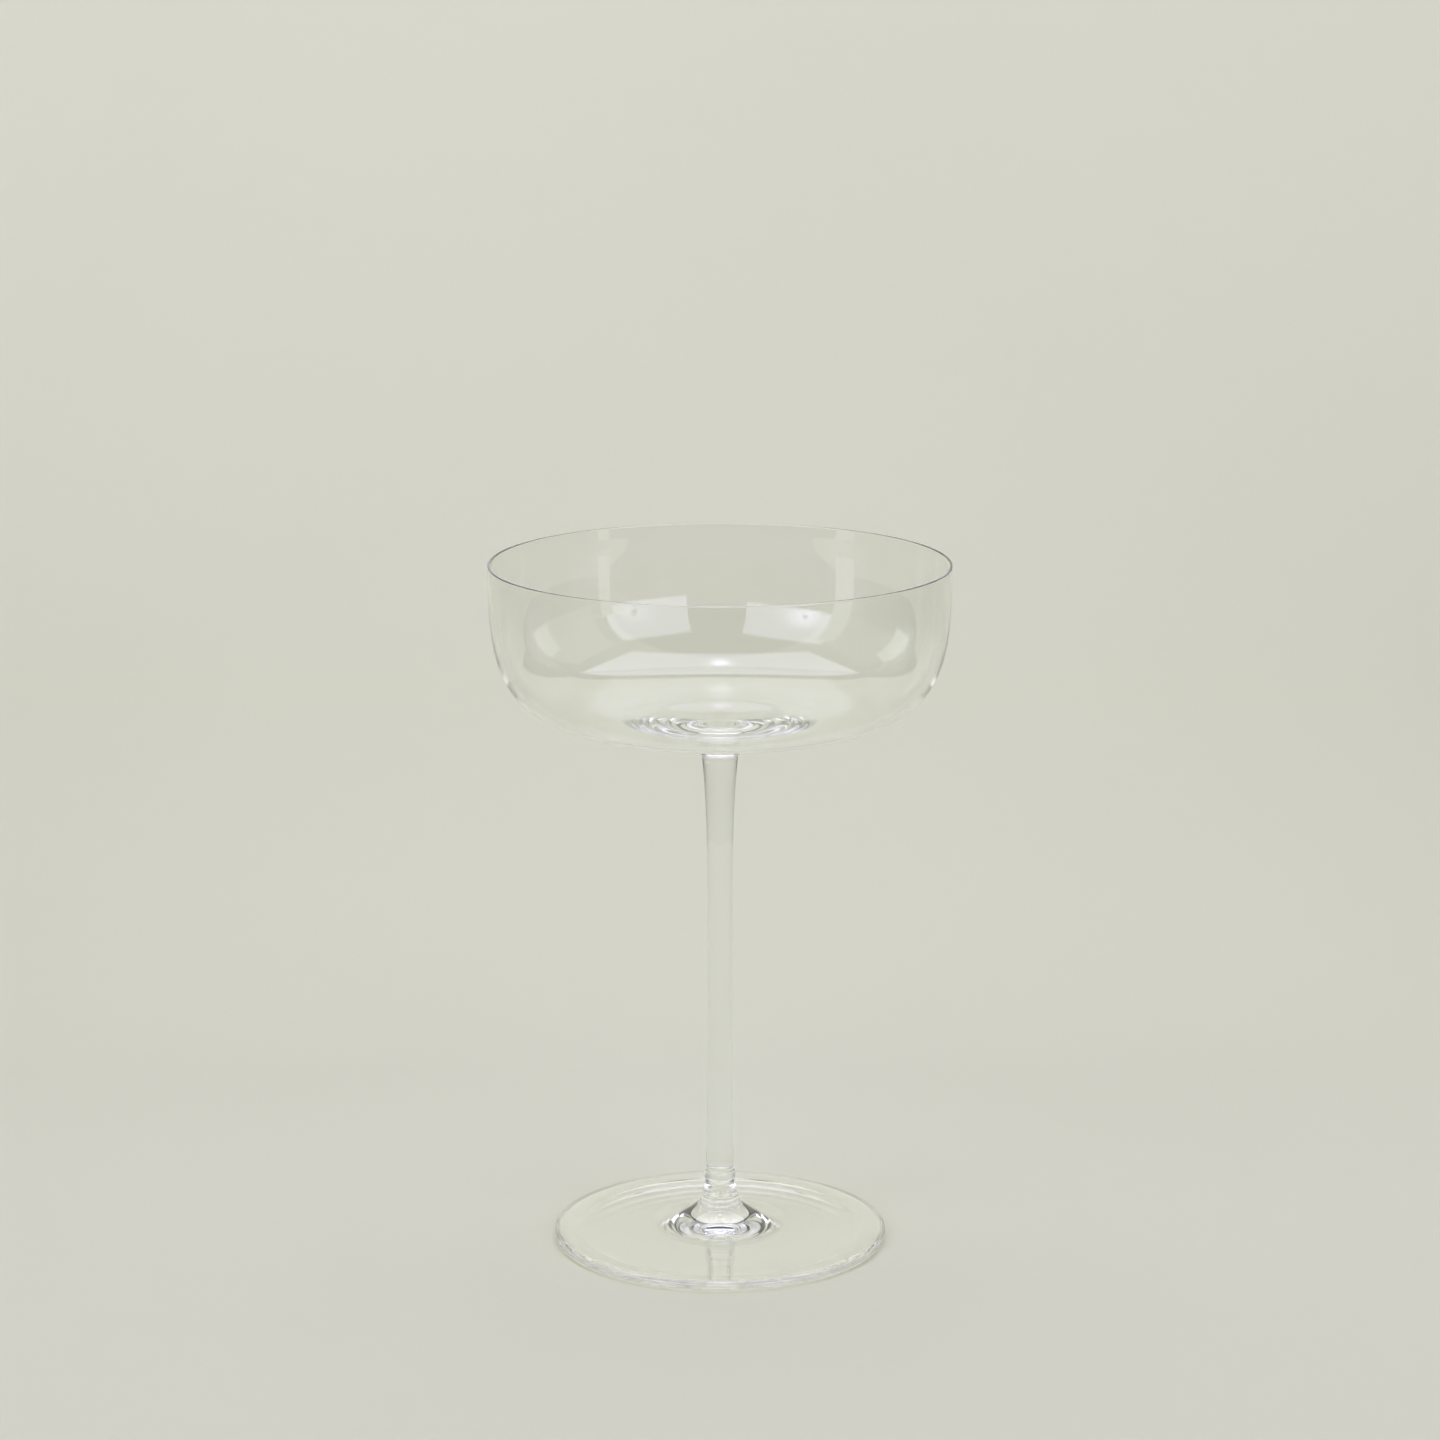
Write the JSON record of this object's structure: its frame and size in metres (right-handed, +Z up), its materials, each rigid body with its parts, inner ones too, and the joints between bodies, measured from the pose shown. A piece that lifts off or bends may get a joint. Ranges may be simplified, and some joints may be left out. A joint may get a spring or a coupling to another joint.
{
  "type": "coupe glass",
  "caption": "Stemmed drinking glass with a wide, shallow round bowl, a slim drawn stem with a collar at its lower end, and a round foot.",
  "frame": {"origin": "on the glass's axis, in the plane of the ring that the foot rests on", "axes": "+Z up along the axis of revolution; +X and +Y are two level directions, alike because the glass is round"},
  "size_m": [0.11, 0.11, 0.1675],
  "materials": {
    "bowl_glass": "clear thin blown glass, fire-polished",
    "stem_glass": "clear solid drawn glass, fire-polished",
    "foot_glass": "clear solid glass, fire-polished, with a cool tint at its edge"
  },
  "bodies": {
    "root": {"bowl": "bowl_glass", "stem": "stem_glass", "collar": "stem_glass", "foot": "foot_glass"}
  },
  "joints": []
}
